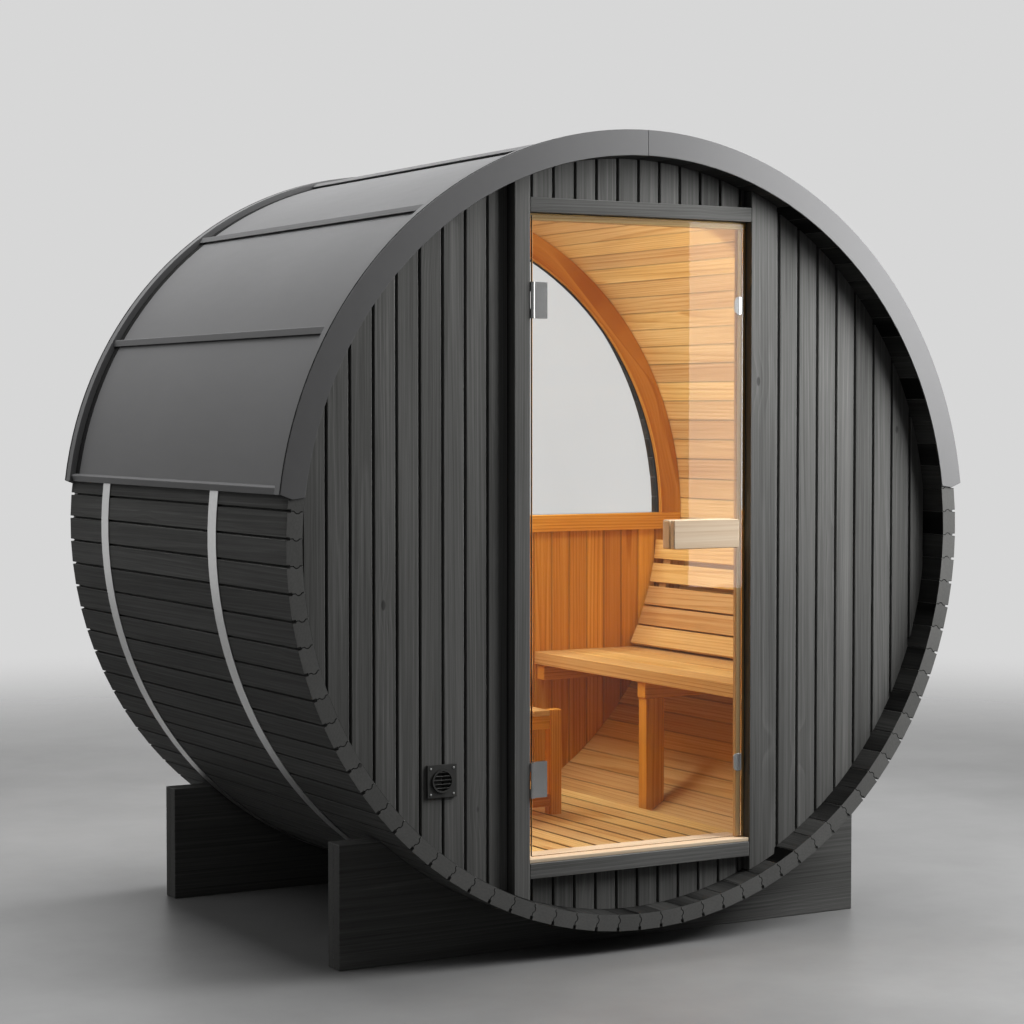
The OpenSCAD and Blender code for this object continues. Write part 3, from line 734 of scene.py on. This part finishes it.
def metalwork():
    """The roof and every fitting of metal, rubber or plastic."""
    roofing()
    fitting("steel_bands", STEEL, 0.0004)
    fitting("hinge_leaves", HINGE, 0.0005)
    fitting("door_hinges", HINGE, 0.0008, body="door")
    fitting("door_catches", CHROME, 0.0008)
    fitting("window_gasket", GASKET, 0.001)
    vent()


def glazing():
    """The door's glass and the window's pane."""
    fitting("door_glass", GLASS, 0.001, body="door")
    fitting("window_glass", GLASS, 0.001)


def add_camera():
    """A camera in front of the door and to its left."""
    camera = bpy.data.cameras.new("camera")
    camera.lens = 87.907
    camera.sensor_width = 36.0
    holder = bpy.data.objects.new("camera", camera)
    holder.location = (-3.3517, -5.8836, 1.3316)
    holder.rotation_euler = (math.radians(87.7328), 0.0, math.radians(-29.8454))
    bpy.context.scene.collection.objects.link(holder)
    bpy.context.scene.camera = holder


def add_lamp(name, place, target, size, power):
    """A soft lamp that lights the object without being seen in it."""
    lamp = bpy.data.lights.new(name, "AREA")
    lamp.shape = "RECTANGLE"
    lamp.size, lamp.size_y = size
    lamp.energy = power
    holder = bpy.data.objects.new(name, lamp)
    holder.location = place
    aim = Vector(target) - Vector(place)
    holder.rotation_euler = aim.to_track_quat("-Z", "Y").to_euler()
    holder.visible_camera = False
    holder.visible_glossy = False
    holder.visible_transmission = False
    bpy.context.scene.collection.objects.link(holder)
    return holder


def add_floor():
    """A pale floor that keeps the shadow and fades into the backdrop."""
    bm = bmesh.new()
    bmesh.ops.create_circle(bm, cap_ends=True, segments=96, radius=30.0)
    mesh = bpy.data.meshes.new("floor")
    bm.to_mesh(mesh)
    bm.free()
    floor = bpy.data.objects.new("floor", mesh)
    floor.location.z = -0.0005
    bpy.context.scene.collection.objects.link(floor)
    shader = Shader("floor")
    place = shader.position()
    cloud = shader.noise(place, (1.6, 1.6, 1.6), 8.0, 0.65)
    path = shader.add("LightPath").outputs
    seen = shader.math("MAXIMUM", path["Is Camera Ray"], path["Is Glossy Ray"])
    seen = shader.math("MAXIMUM", seen, path["Is Transmission Ray"])
    shade = shader.math("MULTIPLY", shader.spread(cloud, 0.7, 1.3), shader.spread(seen, 0.25, 1.0))
    colour = shader.tint(grey(0.27), shade)
    solid = shader.add("BsdfPrincipled", {
        "Base Color": colour, "Roughness": 0.42, "Specular IOR Level": 0.3})
    away = shader.add("VectorMath", {0: place}, operation="LENGTH").outputs["Value"]
    fade = shader.fade(away, 2.6, 7.5)
    clear = shader.add("BsdfTransparent")
    mix = shader.add("MixShader", {0: fade, 1: solid.outputs[0], 2: clear.outputs[0]})
    shader.output(mix.outputs[0])
    mesh.materials.append(shader.material)


def add_world():
    """A pale backdrop for what the camera, metal and glass see, and dim light from above."""
    world = bpy.data.worlds.new("studio")
    bpy.context.scene.world = world
    world.use_nodes = True
    nodes, links = world.node_tree.nodes, world.node_tree.links
    nodes.clear()
    place = nodes.new("ShaderNodeTexCoord")
    axes = nodes.new("ShaderNodeSeparateXYZ")
    links.new(place.outputs["Generated"], axes.inputs[0])

    def between(axis, start, low, high):
        """A strength that rises as a direction's part along an axis goes up by one from start."""
        node = nodes.new("ShaderNodeMapRange")
        links.new(axes.outputs[axis], node.inputs["Value"])
        node.inputs["From Min"].default_value = start
        node.inputs["From Max"].default_value = start + 1.0
        node.inputs["To Min"].default_value = low
        node.inputs["To Max"].default_value = high
        return node.outputs[0]

    path = nodes.new("ShaderNodeLightPath").outputs
    strength = between("Z", 0.0, 0.012, 0.17)
    pale = nodes.new("ShaderNodeValue").outputs[0]
    pale.default_value = 0.68
    for ray, seen in (
            ("Is Glossy Ray", between("Y", -0.9, 0.04, 0.68)),
            ("Is Transmission Ray", pale), ("Is Camera Ray", pale)):
        mix = nodes.new("ShaderNodeMix")
        links.new(path[ray], mix.inputs[0])
        links.new(strength, mix.inputs[2])
        links.new(seen, mix.inputs[3])
        strength = mix.outputs[0]
    light = nodes.new("ShaderNodeBackground")
    light.inputs["Color"].default_value = grey(1.0)
    links.new(strength, light.inputs["Strength"])
    output = nodes.new("ShaderNodeOutputWorld")
    links.new(light.outputs[0], output.inputs["Surface"])


def stage_set():
    """Camera, floor, backdrop and lamps. Each lamp has its place, what it points at, its width
    and height, and its power in watts."""
    add_camera()
    add_floor()
    add_world()
    add_lamp("key", (1.5, -1.6, 2.5), (0.25, -0.7, 1.6), (1.3, 2.2), 89.0)
    add_lamp("top", (-0.1, 0.5, 4.4), (-0.1, 0.3, 0.0), (3.2, 2.4), 255.0)
    add_lamp("side", (-3.0, 0.6, 3.5), (-0.9, 0.0, 1.2), (2.0, 2.0), 13.0)
    add_lamp("window", (0.0, 0.53, 1.42), (0.0, -0.6, 1.42), (1.2, 0.6), 1.5)
    add_lamp("ceiling", (-0.1, 0.38, 1.0), (0.3, 0.38, 1.9), (0.4, 0.3), 2.5)
    add_lamp("room", (-0.2, 0.45, 1.55), (0.1, -0.3, 0.3), (0.8, 0.3), 9.8)
    add_lamp("rear_fill", (0.3, -0.45, 1.65), (0.0, 0.57, 0.95), (0.5, 0.3), 3.0)
    softbox = add_lamp("softbox", (1.92, -1.96, 2.14), (0.44, -0.54, 2.14), (1.5, 2.8), 74.0)
    softbox.visible_diffuse = False
    softbox.visible_glossy = True
    bpy.context.scene.view_settings.view_transform = "Standard"


woodwork()
metalwork()
glazing()
stage_set()
